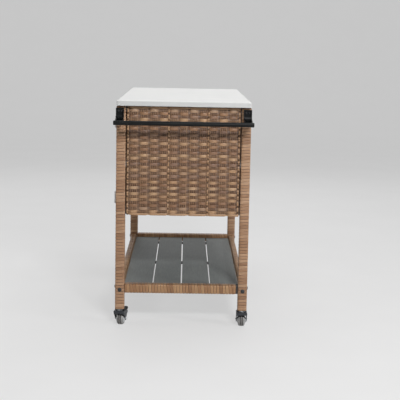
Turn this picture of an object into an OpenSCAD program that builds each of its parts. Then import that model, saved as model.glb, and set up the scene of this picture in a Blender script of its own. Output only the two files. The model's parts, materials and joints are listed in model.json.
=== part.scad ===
// Rolling bar cart: wrapped wicker frame, woven cabinet with two doors, pale tabletop,
// slatted lower deck, handle bar at one end and four swivel casters, two of them with brakes.
// The handle end faces -Y and the doors face -X. The origin is on the floor, under the middle.

/* [Cart] */
// Width over the posts
cart_w = 530; // [470:2:620]
// Length over the posts
frame_l = 1016; // [880:2:1200]
// Height from the floor to the tabletop's upper face
cart_h = 910; // [860:1:960]

/* [Tabletop] */
// Thickness of the tabletop
top_t = 20; // [14:1:30]
// Reach of the tabletop past the posts at each end
top_overhang = 28; // [4:1:60]
// Distance of the tabletop's long edges inside the posts
top_inset = 3; // [0:0.5:8]
// Radius of the tabletop's corners, seen from above
top_corner_r = 8; // [6:1:20]
// Radius that eases the tabletop's edges
top_edge_r = 2.5; // [1:0.5:5]
// Dark gap between the posts and the tabletop
shadow_gap = 3; // [1:0.5:8]

/* [Posts and rails] */
// Width of a wrapped post
post_w = 38; // [37:1:46]
// Width of a wrapped lower rail
low_rail_w = 37; // [32:1:38]
// Width of the narrower lower rails along the long sides
side_rail_w = 22; // [20:1:32]
// Height of the lower rails' underside above the floor
low_rail_z = 138.5; // [110:0.5:180]
// Bare tube at the right end of the front lower rail
bare_end = 8; // [1:1:20]
// Width of the bare square tubes of the cabinet
rail_w = 25; // [20:1:28]
// Wall of every square tube
tube_wall = 1.5; // [1:0.1:2.5]
// Thickness of the wicker wound round a tube
wrap_t = 2.5; // [2:0.1:3.5]
// Width of one wound turn
wrap_pitch = 12.5; // [9:0.5:20]
// Depth of the groove between two turns
wrap_groove_d = 0.9; // [0.4:0.1:1.4]
// Width of the groove between two turns
wrap_groove_w = 2.4; // [1:0.2:4]

/* [Woven panels] */
// Height of the panels' lower edge above the floor
cabinet_z = 455; // [380:1:520]
// Setback of the woven faces behind the posts
weave_recess = 4; // [2:0.5:6]
// Thickness of the woven skin
weave_t = 6; // [5:0.5:8]
// Height of a raised strand over the skin
weave_relief = 2.2; // [1:0.1:3]
// Height of one woven row
row_h = 11.9; // [10:0.1:20]
// Distance from one upright stake to the next
stake_pitch = 38.9; // [30:0.1:60]
// Gap between a woven panel and the posts
weave_gap = 4.5; // [2:0.5:6]

/* [Cabinet] */
// Thickness of the cabinet floor
floor_t = 8; // [5:1:15]
// Thickness of the inner shelf
shelf_t = 12; // [8:1:18]
// Height of the inner shelf above the panels' lower edge
shelf_rise = 215; // [150:5:280]
// Clearance round the floor and the shelf
board_gap = 1; // [0.5:0.5:3]
// Length of a shelf bracket's legs
bracket_leg = 22; // [16:1:30]
// Metal of a shelf bracket
bracket_metal = 2; // [1.5:0.5:3]

/* [Doors] */
// Gap between a door and its post
door_gap = 4.5; // [4:0.1:6]
// Gap between the two doors
door_meet_gap = 3; // [2:0.5:6]
// Gap above and below the doors
door_end_gap = 1; // [0.5:0.5:4]
// Width of the tubes in a door frame
stile_w = 20; // [16:1:26]
// Thickness of a door frame
door_frame_t = 14; // [10:1:18]
// Gap between a closed door and the cabinet's tubes
door_stop_gap = 1; // [0.6:0.1:2]
// Length of a door pull between its two legs
pull_l = 90; // [60:2:140]
// Diameter of a door pull's bar
pull_d = 9; // [7:0.5:10]
// Reach of a pull past the woven face
pull_out = 17; // [14:0.5:19]
// Diameter of the collar under each leg of a pull
pull_collar_d = 14; // [12:0.5:15]

/* [Hinges] */
// Diameter of a hinge pin
pin_d = 4; // [3:0.1:4.4]
// Outside diameter of a hinge barrel
barrel_d = 7.2; // [6.6:0.1:8]
// Length of a hinge
hinge_l = 46; // [36:2:60]
// Width of a hinge leaf inside the gap
leaf_w = 19; // [14:1:20]
// Thickness of a hinge leaf
leaf_t = 1.4; // [1:0.1:1.6]
// Distance of a hinge's middle from the end of its door
hinge_in = 64; // [50:2:120]

/* [Lower deck] */
// Number of slats
slat_count = 4; // [4:1:8]
// Gap between two slats
slat_gap = 5; // [3:0.5:12]
// Gap between the outer slats and the side rails
slat_side_gap = 3.5; // [1:0.5:5]
// Gap between the ends of the slats and the posts
slat_end_gap = 1; // [0.5:0.5:4]
// Thickness of a slat
slat_t = 12; // [8:1:16]
// Height of the lower rails above the slats
deck_recess = 16.5; // [8:0.5:17]
// Width of a support bar under the slats
support_w = 25; // [20:1:50]
// Distance of the end supports from the end rails
support_in = 54; // [26:1:120]

/* [Handle] */
// Distance from the posts to the middle of the bar
handle_out = 100; // [80:1:130]
// Diameter of the handle bar
bar_d = 17.5; // [15:0.5:22]
// Height of the bar's middle below the tabletop's underside
bar_drop = 60; // [54:1:90]
// Width of a handle bracket
arm_w = 31; // [28:1:34]
// Thickness of a bracket's metal
arm_t = 6; // [5:0.5:8]
// Inner radius of a bracket's bend
arm_bend_r = 22; // [15:1:24]
// Reach of a bracket past the post's outer face
arm_side_out = 0; // [0:0.5:3]
// Height of the ribs along a bracket's edges, at its bend
arm_rib = 11; // [1:0.5:13]

/* [Casters] */
// Wheel diameter
wheel_d = 50; // [46:1:56]
// Wheel width
wheel_w = 27; // [22:1:30]
// Gap between a wheel and each cheek of its fork
fork_clear = 6; // [2:0.5:8]
// Gap between a wheel and the crown of its fork
crown_clear = 12; // [5:0.5:14]
// Distance of the axle behind the swivel axis
trail = 18; // [14:1:22]
// Sheet metal of a fork
fork_t = 2; // [1.5:0.1:3]
// Diameter of a wheel axle
axle_d = 8; // [6:0.5:10]
// Diameter of a caster's threaded stem
stem_d = 10; // [8:1:12]
// Diameter of the swivel race
race_d = 34; // [28:1:36]
// Travel of a brake pedal in degrees
brake_travel = 20; // [10:1:20]
// Turn of the front left caster on its stem in degrees, as it stands in the photograph
front_left_turn = 12; // [-30:1:30]

/* [Fasteners] */
// Diameter of the frame bolts
bolt_d = 6; // [5:0.5:8]
// Diameter of a frame bolt's cap
bolt_cap_d = 17; // [11:1:18]
// Diameter of the handle screws
screw_d = 5; // [4:0.5:6]

/* [Hidden] */
$fn = 48;

// Clearances
run_gap = 0.05;
slip_gap = 0.3;
hole_gap = 0.3;
cut = 1;

// Levels, counted up from the floor
wheel_r = wheel_d / 2;
crown_z = wheel_d + crown_clear;
fork_top_z = crown_z + fork_t;
race_h = 3;
cup_z = fork_top_z + race_h + slip_gap;
cup_h = 2.5;
insert_lip = 2.2;
insert_z = cup_z + cup_h;
post_z = insert_z + insert_lip;
top_under_z = cart_h - top_t;
post_top_z = top_under_z - shadow_gap;
post_l = post_top_z - post_z;
panel_h = post_top_z - cabinet_z;
deck_z = low_rail_z + low_rail_w - deck_recess;
slat_z = deck_z - slat_t;
support_t = slat_z - low_rail_z - 0.5;
cabinet_rail_z = cabinet_z + 4;
floor_z = cabinet_rail_z + rail_w;
shelf_z = cabinet_z + shelf_rise;
top_rail_z = top_under_z - rail_w;
bar_z = top_under_z - bar_drop;

// Brake pedal: its hub stands clear of the tread, behind the axle
pivot_r = 2;
pedal_hub_r = 4.6;
pivot_reach = wheel_r + pedal_hub_r + 1.6;
pivot_angle = 50;
pivot_y = trail + pivot_reach * cos(pivot_angle);
pivot_z = wheel_r + pivot_reach * sin(pivot_angle);
pedal_tilt = 22;
pedal_l = 28;

// Places along the length, so that the whole cart is centred on the origin
pedal_overhang = pivot_y + pedal_l * cos(pedal_tilt) - post_w / 2;
rear_reach = max(top_overhang, pedal_overhang);
front_y = (handle_out + bar_d / 2 - frame_l - rear_reach) / 2;
back_y = front_y + frame_l;
mid_y = (front_y + back_y) / 2;
bay_l = frame_l - 2 * post_w;

// Places across the width
side_x = cart_w / 2;
post_x = side_x - post_w / 2;
post_in_x = side_x - post_w;
bay_w = 2 * post_in_x;
corners = [[-1, -1], [1, -1], [-1, 1], [1, 1]];
function corner_y(s) = s < 0 ? front_y + post_w / 2 : back_y - post_w / 2;

// Woven skins and the tubes behind them
skin_back = weave_recess + weave_t;
door_t = weave_t + door_frame_t;
door_back_x = side_x - weave_recess - door_t;
left_rail_x = door_back_x - door_stop_gap;
right_rail_x = side_x - skin_back;

// Doors
door_l = (bay_l - 2 * door_gap - door_meet_gap) / 2;
door_z = cabinet_z + door_end_gap;
door_h = panel_h - 2 * door_end_gap;
door_y = front_y + post_w + door_gap;
hinge_x = side_x + slip_gap + barrel_d / 2;
hinge_y = front_y + post_w + door_gap / 2;
hinge_zs = [door_z + hinge_in, door_z + door_h - hinge_in];
knuckle_l = (hinge_l - slip_gap) / 2;
pull_y = door_y + door_l - stile_w / 2;
pull_zs = [door_z + (door_h - pull_l) / 2, door_z + (door_h + pull_l) / 2];

// Handle
arm_in_x = side_x + arm_side_out - arm_w;
arm_x = arm_in_x + arm_w / 2;
plate_l = 26;
plate_z = bar_z + arm_t / 2 + arm_bend_r;
plate_top_z = plate_z + plate_l;
screw_z = plate_z + 14;
screw_dx = 6;
bar_wall = 1.5;
spigot_l = 18;
bar_end_out = 3.5;

// Casters
fork_in = wheel_w / 2 + fork_clear;
fork_out = fork_in + fork_t;
axle_boss_r = axle_d / 2 + 3;
fork_tail = trail + 9;
nut_t = 2.5;
pedal_half = fork_in - slip_gap;
rivet_h = 2.6;
stem_plug_h = 30;
stem_l = 22;
fork_reach = pivot_y + 2 * pedal_hub_r;

// Lower rails, set on the posts' middle lines
low_mid_z = low_rail_z + low_rail_w / 2;
low_core_w = low_rail_w - 2 * wrap_t;
side_core_w = side_rail_w - 2 * wrap_t;
deck_w = 2 * (post_x - side_rail_w / 2);

// Frame bolts
end_bolt_z = low_rail_z + 13.5;
side_bolt_z = end_bolt_z + bolt_d + 4;
plug_l = 16;
bolt_cap_h = 3;
socket_h = 1.6;

// Flat outline drawn in the Y-Z plane and given a thickness along X
module along_x(length) {
  rotate([90, 0, 90]) translate([0, 0, -length / 2]) linear_extrude(length) children();
}

// Flat outline drawn in the X-Z plane and given a thickness along Y
module along_y(length) {
  rotate([90, 0, 0]) translate([0, 0, -length / 2]) linear_extrude(length) children();
}

module round_rect(w, h, r) {
  translate([r, 0]) square([w - 2 * r, h]);
  translate([0, r]) square([w, h - 2 * r]);
  for (x = [r, w - r], y = [r, h - r]) translate([x, y]) circle(r);
}

module at_corner(c) {
  translate([c[0] * post_x, corner_y(c[1]), 0]) children();
}

module at_caster(c) {
  at_corner(c) rotate([0, 0, c == corners[0] ? -front_left_turn : 0]) children();
}

// Turns of flat wicker wound round a square core: one face of the outline
function wound_edge(length, half) =
  let (turns = round(length / wrap_pitch), p = length / turns, g = wrap_groove_w / 2)
  [
    for (i = [0 : turns - 1]) each [
      [half - wrap_groove_d, i * p],
      [half, i * p + g],
      [half, (i + 1) * p - g],
    ],
    [half - wrap_groove_d, length],
  ];

module wound_slab(length, w, depth) {
  edge = wound_edge(length, w / 2);
  last = len(edge) - 1;
  other = [for (i = [0 : last]) [-edge[last - i][0], edge[last - i][1]]];
  along_y(depth + 2 * cut) polygon(concat(edge, other));
}

// Hollow wicker sleeve along +Z, w wide in X and h in Y
module wound_sleeve(length, w, h) {
  difference() {
    intersection() {
      wound_slab(length, w, h);
      rotate([0, 0, 90]) wound_slab(length, h, w);
    }
    bar_along_z(length, w - 2 * wrap_t, h - 2 * wrap_t, cut);
  }
}

module box_tube(length, w, h) {
  difference() {
    bar_along_z(length, w, h, 0);
    bar_along_z(length, w - 2 * tube_wall, h - 2 * tube_wall, cut);
  }
}

module bar_along_z(length, w, h, extra) {
  translate([-w / 2, -h / 2, -extra]) cube([w, h, length + 2 * extra]);
}

// Turns a piece that stands along Z so that it lies along X or Y, centred
module lay_x(length) {
  translate([-length / 2, 0, 0]) rotate([0, 90, 0]) children();
}

module lay_y(length) {
  translate([0, length / 2, 0]) rotate([90, 0, 0]) children();
}

// Holes through a post for the frame bolts and the handle screws
module post_holes(c) {
  r = bolt_d / 2 + hole_gap;
  translate([0, 0, end_bolt_z]) rotate([90, 0, 0]) cylinder(post_w + 2 * cut, r, r, center = true);
  translate([0, 0, side_bolt_z]) rotate([0, 90, 0]) cylinder(post_w + 2 * cut, r, r, center = true);
  if (c[1] < 0) {
    s = screw_d / 2 + hole_gap;
    for (dx = [-screw_dx, screw_dx]) {
      translate([c[0] * (arm_x - post_x) + dx, -post_w / 2 - cut, screw_z])
        rotate([-90, 0, 0]) cylinder(post_w / 2, s, s);
    }
  }
}

module post(c) {
  color("peru") at_corner(c) difference() {
    translate([0, 0, post_z]) wound_sleeve(post_l, post_w, post_w);
    post_holes(c);
  }
}

module post_tubes() {
  w = post_w - 2 * wrap_t;
  color("dimgray") for (c = corners) at_corner(c) difference() {
    translate([0, 0, post_z]) box_tube(post_l, w, w);
    post_holes(c);
  }
}

// Plastic plug in the foot of a post, with the caster's socket
module caster_inserts() {
  w = post_w - 2 * wrap_t - 2 * tube_wall;
  lip = post_w - 1;
  h = stem_plug_h;
  color("black") for (c = corners) at_corner(c) difference() {
    union() {
      translate([-w / 2, -w / 2, insert_z]) cube([w, w, insert_lip + h]);
      translate([-lip / 2, -lip / 2, insert_z]) cube([lip, lip, insert_lip]);
    }
    translate([0, 0, insert_z - cut]) cylinder(h - 2 + cut, stem_d / 2 + run_gap, stem_d / 2 + run_gap);
  }
}

module top_rails_end() {
  color("#2b2724") end_rails(top_rail_z);
}

module top_rails_side() {
  color("#2b2724") side_rails(top_rail_z);
}

module cabinet_rails_end() {
  color("#2b2724") end_rails(cabinet_rail_z);
}

module cabinet_rails_side() {
  color("#2b2724") side_rails(cabinet_rail_z);
}

module end_rails(z) {
  for (y = [front_y + skin_back + rail_w / 2, back_y - skin_back - rail_w / 2]) {
    translate([0, y, z + rail_w / 2]) lay_x(bay_w) box_tube(bay_w, rail_w, rail_w);
  }
}

module side_rails(z) {
  for (x = [-left_rail_x + rail_w / 2, right_rail_x - rail_w / 2]) {
    translate([x, mid_y, z + rail_w / 2]) lay_y(bay_l) box_tube(bay_l, rail_w, rail_w);
  }
}

// The wicker of the front rail stops short of the right post and bares the tube there
module lower_rail_end(s) {
  bare = s < 0 ? bare_end : 0;
  l = bay_w - bare;
  color("peru") translate([-bare / 2, corner_y(s), low_mid_z]) lay_x(l) wound_sleeve(l, low_rail_w, low_rail_w);
}

module lower_rail_side(s) {
  color("peru") translate([s * post_x, mid_y, low_mid_z]) lay_y(bay_l)
    wound_sleeve(bay_l, side_rail_w, low_rail_w);
}

module lower_rail_tubes() {
  color("dimgray") for (s = [-1, 1]) {
    translate([0, corner_y(s), low_mid_z]) lay_x(bay_w) box_tube(bay_w, low_core_w, low_core_w);
    translate([s * post_x, mid_y, low_mid_z]) lay_y(bay_l) box_tube(bay_l, side_core_w, low_core_w);
  }
}

// Threaded plugs in the ends of the lower rails
module rail_end_plugs() {
  h = low_core_w - 2 * tube_wall;
  w = side_core_w - 2 * tube_wall;
  r = bolt_d / 2 + run_gap;
  color("black") for (c = corners) {
    translate([c[0] * (post_in_x - plug_l / 2), corner_y(c[1]), low_mid_z]) difference() {
      cube([plug_l, h, h], center = true);
      translate([0, 0, side_bolt_z - low_mid_z]) rotate([0, 90, 0]) cylinder(plug_l + 2 * cut, r, r, center = true);
    }
    translate([c[0] * post_x, corner_y(c[1]) - c[1] * (post_w + plug_l) / 2, low_mid_z]) difference() {
      cube([w, plug_l, h], center = true);
      translate([0, 0, end_bolt_z - low_mid_z]) rotate([90, 0, 0]) cylinder(plug_l + 2 * cut, r, r, center = true);
    }
  }
}

// Radius of the circle whose cap is r wide each side of the middle and h high
function cap_radius(r, h) = (r * r + h * h) / (2 * h);

// Domed bolt with a hexagonal socket: its head's flat side lies on z = 0 and its shank runs down
module capped_bolt(d, cap_d, cap_h, length) {
  dome_r = cap_radius(cap_d / 2, cap_h);
  difference() {
    rotate_extrude() {
      translate([0, -length]) square([d / 2, length + cap_h / 2]);
      intersection() {
        square([cap_d / 2, cap_h]);
        translate([0, cap_h - dome_r]) circle(dome_r);
      }
    }
    translate([0, 0, cap_h - socket_h]) cylinder(socket_h + cut, d * 0.38, d * 0.38, $fn = 6);
  }
}

module frame_bolts() {
  length = post_w + plug_l - 3;
  color("#1d1d1d") for (c = corners) at_corner(c) {
    translate([0, c[1] * post_w / 2, end_bolt_z]) rotate([-c[1] * 90, 0, 0])
      capped_bolt(bolt_d, bolt_cap_d, bolt_cap_h, length);
    translate([c[0] * post_w / 2, 0, side_bolt_z]) rotate([0, c[0] * 90, 0])
      capped_bolt(bolt_d, bolt_cap_d, bolt_cap_h, length);
  }
}

// Woven skin: its back lies on y = 0, it stands on z = 0 and its raised strands face -Y.
// Each row is one strand that passes over every second stake, a stake out of step with the next.
module woven_skin(w, h) {
  border = row_h * 0.75;
  rows = round((h - 2 * border) / row_h);
  p = (h - 2 * border) / rows;
  stakes = round(w / stake_pitch);
  q = w / stakes;
  back_t = weave_t - weave_relief;
  slit = 0.8;
  slope = 6;
  translate([-w / 2, -back_t, 0]) cube([w, back_t, h]);
  for (z = [0, h - border]) translate([-w / 2, -weave_t, z]) cube([w, weave_t, border]);
  for (j = [0 : rows - 1]) translate([-w / 2, 0, border + j * p + slit / 2]) linear_extrude(p - slit) {
    for (i = [0 : stakes - 1]) if ((i + j) % 2 == 0) {
      polygon([
        [i * q + 1, -back_t],
        [i * q + slope, -weave_t],
        [(i + 1) * q - slope, -weave_t],
        [(i + 1) * q - 1, -back_t],
        [(i + 1) * q - 1, -back_t / 2],
        [i * q + 1, -back_t / 2],
      ]);
    }
  }
}

module woven_end_front() {
  color("sienna") translate([0, front_y + skin_back, cabinet_z])
    woven_skin(bay_w - 2 * weave_gap, panel_h);
}

module woven_end_back() {
  color("sienna") translate([0, back_y - skin_back, cabinet_z]) rotate([0, 0, 180])
    woven_skin(bay_w - 2 * weave_gap, panel_h);
}

module woven_side_right() {
  color("sienna") translate([side_x - skin_back, mid_y, cabinet_z]) rotate([0, 0, 90])
    woven_skin(bay_l - 2 * weave_gap, panel_h);
}

// Flat board that fills the cabinet and is notched round the four posts
module cabinet_board(t) {
  x0 = -(door_back_x - 2 * board_gap);
  x1 = right_rail_x - board_gap;
  y0 = front_y + skin_back + board_gap;
  y1 = back_y - skin_back - board_gap;
  notch = post_w + board_gap;
  difference() {
    translate([x0, y0, 0]) cube([x1 - x0, y1 - y0, t]);
    for (c = corners) {
      translate([c[0] * (side_x - notch / 2), c[1] < 0 ? front_y + notch / 2 : back_y - notch / 2, t / 2])
        cube([notch, notch, t + 2 * cut], center = true);
    }
  }
}

module cabinet_floor() {
  color("gray") translate([0, 0, floor_z]) cabinet_board(floor_t);
}

module cabinet_shelf() {
  color("gray") translate([0, 0, shelf_z]) cabinet_board(shelf_t);
}

// Angle brackets on the posts' inner faces, under the shelf
module shelf_brackets() {
  w = 20;
  color("silver") for (c = corners) {
    y = c[1] < 0 ? front_y + post_w - w - 2 : back_y - post_w + 2;
    for (box = [[bracket_metal, bracket_leg], [bracket_leg, bracket_metal]]) {
      translate([c[0] < 0 ? -post_in_x : post_in_x - box[0], y, shelf_z - box[1]]) cube([box[0], w, box[1]]);
    }
  }
}

// Section of the tabletop's rim: flat inside, eased edges outside
module top_rim() {
  intersection() {
    translate([-top_corner_r, 0]) round_rect(2 * top_corner_r, top_t, top_edge_r);
    square([top_corner_r, top_t]);
  }
}

module tabletop() {
  w = cart_w - 2 * top_inset - 2 * top_corner_r;
  l = frame_l + 2 * top_overhang - 2 * top_corner_r;
  color("whitesmoke") translate([0, mid_y, top_under_z]) {
    translate([-w / 2, -l / 2, 0]) cube([w, l, top_t]);
    for (i = [0 : 3]) rotate([0, 0, 90 * i]) {
      reach = i % 2 == 0 ? w / 2 : l / 2;
      run = i % 2 == 0 ? l : w;
      translate([reach, 0, 0]) along_y(run) top_rim();
      translate([reach, run / 2, 0]) rotate_extrude(angle = 90) top_rim();
    }
  }
}

// Black bars between the side rails that carry the slats
module deck_supports() {
  end_y = front_y + post_w / 2 + low_rail_w / 2 + support_in;
  color("#1d1d1d") for (y = [end_y, mid_y, 2 * mid_y - end_y]) {
    translate([-deck_w / 2, y - support_w / 2, slat_z - support_t]) cube([deck_w, support_w, support_t]);
  }
}

module deck_slat(i) {
  slats_w = deck_w - 2 * slat_side_gap;
  w = (slats_w - (slat_count - 1) * slat_gap) / slat_count;
  color("dimgray") translate([-slats_w / 2 + i * (w + slat_gap), mid_y, slat_z])
    along_y(bay_l - 2 * slat_end_gap) round_rect(w, slat_t, 1.5);
}

// The number of slats that a node holds, when there are more slats than nodes
module deck_slats_of(n) {
  for (i = [n : 4 : slat_count - 1]) deck_slat(i);
}

// Cast bracket: a plate on the post, a bend and an arm that ends in a round socket for the bar.
// Its ribs taper down towards the bar.
module handle_bracket(s) {
  bend_y = -arm_t - arm_bend_r;
  rib_w = 3;
  color("#1f2123") translate([s * arm_x, front_y, 0]) difference() {
    union() {
      bracket_strap(arm_w, 0);
      for (x = [-1, 1]) translate([x * (arm_w - rib_w) / 2, 0, 0]) bracket_strap(rib_w, arm_rib);
      translate([0, -handle_out, bar_z]) rotate([0, s * 90, 0]) bar_socket();
    }
    for (x = [-screw_dx, screw_dx]) translate([x, -arm_t - arm_rib - cut, screw_z])
      rotate([-90, 0, 0]) cylinder(arm_t + arm_rib + 2 * cut, screw_d / 2 + hole_gap, screw_d / 2 + hole_gap);
  }
}

module bracket_strap(w, rib) {
  r = arm_bend_r - rib;
  outer_r = arm_bend_r + arm_t;
  arm_end = handle_out - bar_d / 4;
  along_x(w) {
    translate([-arm_t - rib, plate_z]) square([arm_t + rib, plate_top_z - plate_z]);
    translate([0, bar_z - arm_t / 2])
      polygon([[-arm_end, 0], [-outer_r, 0], [-outer_r, arm_t + rib], [-arm_end, arm_t]]);
    translate([-outer_r, plate_z]) intersection() {
      difference() {
        circle(outer_r);
        circle(r);
      }
      translate([0, -outer_r]) square(outer_r);
    }
  }
}

// Solid round end of the bar with its outer rim eased, and the spigot that enters the bar
module bar_socket() {
  r = bar_d / 2;
  ease = 2.5;
  end = arm_w / 2 + bar_end_out;
  rotate_extrude() {
    translate([0, -arm_w / 2]) square([r, arm_w / 2 + end - ease]);
    square([r - ease, end]);
    translate([r - ease, end - ease]) circle(ease);
    translate([0, -arm_w / 2 - spigot_l]) square([r - bar_wall - run_gap, spigot_l]);
  }
}

module handle_bar() {
  l = 2 * arm_in_x;
  color("#1f2123") translate([0, front_y - handle_out, bar_z]) rotate([0, 90, 0]) difference() {
    cylinder(l, bar_d / 2, bar_d / 2, center = true);
    cylinder(l + 2 * cut, bar_d / 2 - bar_wall, bar_d / 2 - bar_wall, center = true);
  }
}

module handle_screws() {
  color("#1d1d1d") for (s = [-1, 1], x = [-screw_dx, screw_dx]) {
    translate([s * arm_x + x, front_y - arm_t, screw_z]) rotate([90, 0, 0])
      capped_bolt(screw_d, screw_d * 1.9, 2.4, arm_t + 10);
  }
}

// Doors are drawn for the handle end; the other one is its mirror image
module mirrored(back) {
  translate([0, back ? 2 * mid_y : 0, 0]) mirror([0, back ? 1 : 0, 0]) children();
}

module door_frame(back) {
  color("#2b2724") mirrored(back) translate([-door_back_x - door_frame_t / 2, 0, 0]) along_x(door_frame_t) difference() {
    translate([door_y, door_z]) square([door_l, door_h]);
    inner_h = (door_h - 3 * stile_w) / 2;
    for (i = [0, 1]) translate([door_y + stile_w, door_z + stile_w + i * (inner_h + stile_w)])
      square([door_l - 2 * stile_w, inner_h]);
  }
}

module door_weave(back) {
  r = pull_collar_d / 2 + slip_gap;
  color("sienna") mirrored(back) difference() {
    translate([-(side_x - skin_back), door_y + door_l / 2, door_z]) rotate([0, 0, -90])
      woven_skin(door_l, door_h);
    for (z = pull_zs) translate([-side_x, pull_y, z]) rotate([0, 90, 0]) cylinder(2 * weave_t, r, r);
  }
}

// Upright bar on two legs, whose collars pass through the weave to the door's frame
module door_pull(back) {
  r = pull_d / 2;
  bar_x = weave_t + pull_out - r;
  color("#1f2123") mirrored(back) translate([-(side_x - skin_back), pull_y, 0]) {
    for (z = pull_zs) translate([0, 0, z]) rotate([0, -90, 0]) {
      cylinder(bar_x, r * 0.8, r * 0.8);
      cylinder(weave_t + 1.5, pull_collar_d / 2, pull_collar_d / 2);
    }
    translate([-bar_x, 0, pull_zs[0] - r]) cylinder(pull_l + 2 * r, r, r);
    for (z = [pull_zs[0] - r, pull_zs[1] + r]) translate([-bar_x, 0, z]) sphere(r);
  }
}

// Half of a hinge: a barrel with a leaf that lies in the gap beside the door
module hinge_half(knuckle_z, leaf_side, bore) {
  reach = hinge_x - side_x;
  leaf_y = leaf_side * (door_gap / 2 - leaf_t / 2);
  difference() {
    union() {
      translate([0, 0, knuckle_z]) cylinder(knuckle_l, barrel_d / 2, barrel_d / 2);
      translate([0, leaf_y - leaf_t / 2, knuckle_z]) cube([reach + leaf_w, leaf_t, knuckle_l]);
      translate([reach + slip_gap, leaf_y - leaf_t / 2, -hinge_l / 2]) cube([leaf_w - slip_gap, leaf_t, hinge_l]);
    }
    if (bore) translate([0, 0, knuckle_z - cut])
      cylinder(knuckle_l + 2 * cut, pin_d / 2 + run_gap, pin_d / 2 + run_gap);
  }
}

// Post halves of the four hinges, each with its pin
module hinge_posts() {
  color("silver") for (back = [false, true], z = hinge_zs) mirrored(back) translate([-hinge_x, hinge_y, z]) {
    hinge_half(-hinge_l / 2, -1, false);
    translate([0, 0, -hinge_l / 4]) cylinder(hinge_l * 0.75 - 1, pin_d / 2, pin_d / 2);
  }
}

module door_hinges(back) {
  color("silver") for (z = hinge_zs) mirrored(back) translate([-hinge_x, hinge_y, z])
    hinge_half(hinge_l / 2 - knuckle_l, 1, true);
}

// Double magnetic catch under the top tube, behind the doors' meeting edges
module door_catch() {
  l = 2 * stile_w + 4;
  t = 18;
  h = 12;
  color("#d8d8d2") translate([-(door_back_x - slip_gap), mid_y - l / 2, top_rail_z - h]) cube([t, l, h]);
}

// Caster parts are drawn about the swivel axis, with the wheel behind it at +Y
module caster_stems() {
  color("silver") for (c = corners) at_corner(c) rotate_extrude() {
    translate([0, crown_z - slip_gap - rivet_h]) square([stem_d / 2, post_z + stem_l - crown_z + slip_gap + rivet_h]);
    translate([0, crown_z - slip_gap - rivet_h]) square([stem_d / 2 + 3.5, rivet_h]);
    translate([0, cup_z]) square([race_d / 2, cup_h - 1]);
    translate([0, cup_z]) square([race_d / 2 - 1, cup_h]);
  }
}

module fork_profile() {
  r = 5;
  module arch(half, top, round_r) {
    translate([-half, 0]) square([2 * half, top - round_r]);
    translate([-half + round_r, 0]) square([2 * (half - round_r), top]);
    for (s = [-1, 1]) translate([s * (half - round_r), top - round_r]) circle(round_r);
  }
  difference() {
    arch(fork_out, fork_top_z, r);
    translate([0, -cut]) arch(fork_in, crown_z + cut, r - fork_t);
  }
}

module fork_outline(brake) {
  nose = -race_d / 2 + 2;
  tail = fork_tail;
  waist_z = wheel_r + 4;
  translate([trail, wheel_r]) circle(axle_boss_r);
  polygon([
    [nose, fork_top_z], [nose, crown_z - 6], [trail - axle_boss_r, waist_z - 4],
    [trail - axle_boss_r, wheel_r], [trail + axle_boss_r, wheel_r],
    [trail + axle_boss_r, waist_z + 2], [tail, crown_z - 8], [tail, fork_top_z],
  ]);
  if (brake) {
    translate([pivot_y, pivot_z]) circle(pivot_r + 3.4);
    polygon([
      [trail, fork_top_z], [tail, fork_top_z], [pivot_y, pivot_z + pivot_r + 3.4],
      [pivot_y, pivot_z - pivot_r - 3.4], [trail + axle_boss_r, waist_z + 2], [trail, waist_z + 2],
    ]);
  }
}

module fork(c, brake) {
  stem_r = stem_d / 2 + run_gap;
  axle_r = axle_d / 2 + run_gap;
  color("#b9bcbd") at_caster(c) {
    difference() {
      union() {
        intersection() {
          along_y(2 * fork_reach) fork_profile();
          along_x(2 * fork_out + 2 * cut) fork_outline(brake);
        }
        rotate_extrude() {
          translate([0, crown_z]) square([race_d / 2 - 3, fork_t + race_h]);
          translate([0, crown_z]) square([race_d / 2 - 1, fork_t + race_h - 2]);
          translate([race_d / 2 - 3, fork_top_z + race_h - 2]) circle(2);
        }
      }
      translate([0, 0, crown_z - cut]) cylinder(fork_t + race_h + 2 * cut, stem_r, stem_r);
      translate([0, trail, wheel_r]) rotate([0, 90, 0]) cylinder(2 * fork_out + 2 * cut, axle_r, axle_r, center = true);
      translate([-fork_in, fork_tail, pivot_z]) cube([2 * fork_in, pivot_y, fork_top_z]);
    }
    if (brake) translate([0, pivot_y, pivot_z]) rotate([0, 90, 0])
      cylinder(2 * fork_out + 1.2, pivot_r, pivot_r, center = true);
  }
}

// Wheel: hub with a running bore, conical sides, round shoulders and two grooves round the tread
module wheel(c) {
  half = wheel_w / 2;
  bore_r = axle_d / 2 + run_gap;
  boss = fork_in - slip_gap;
  shoulder = 8;
  rim_r = wheel_r - shoulder;
  color("darkgray") at_caster(c) translate([0, trail, wheel_r]) rotate([0, 90, 0]) rotate_extrude($fn = 96) difference() {
    union() {
      translate([0, -half + shoulder]) square([wheel_r, wheel_w - 2 * shoulder]);
      translate([0, -half]) square([rim_r, wheel_w]);
      for (s = [-1, 1]) translate([rim_r, s * (half - shoulder)]) circle(shoulder);
      polygon([
        [0, -boss], [axle_boss_r, -boss], [rim_r, 1 - half], [rim_r, half - 1], [axle_boss_r, boss], [0, boss],
      ]);
    }
    translate([-cut, -boss - cut]) square([bore_r + cut, 2 * (boss + cut)]);
    for (s = [-1, 1]) translate([wheel_r, s * (half - shoulder)]) circle(1.3);
  }
}

module axle(c) {
  r = axle_d / 2;
  half = fork_out + nut_t;
  color("#e4e6e8") at_caster(c) translate([0, trail, wheel_r]) rotate([0, 90, 0]) {
    cylinder(2 * half, r, r, center = true);
    for (s = [-1, 1]) translate([0, 0, s * (fork_out + nut_t / 2)]) cylinder(nut_t, r * 1.7, r * 1.7, center = true, $fn = 6);
  }
}

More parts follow.
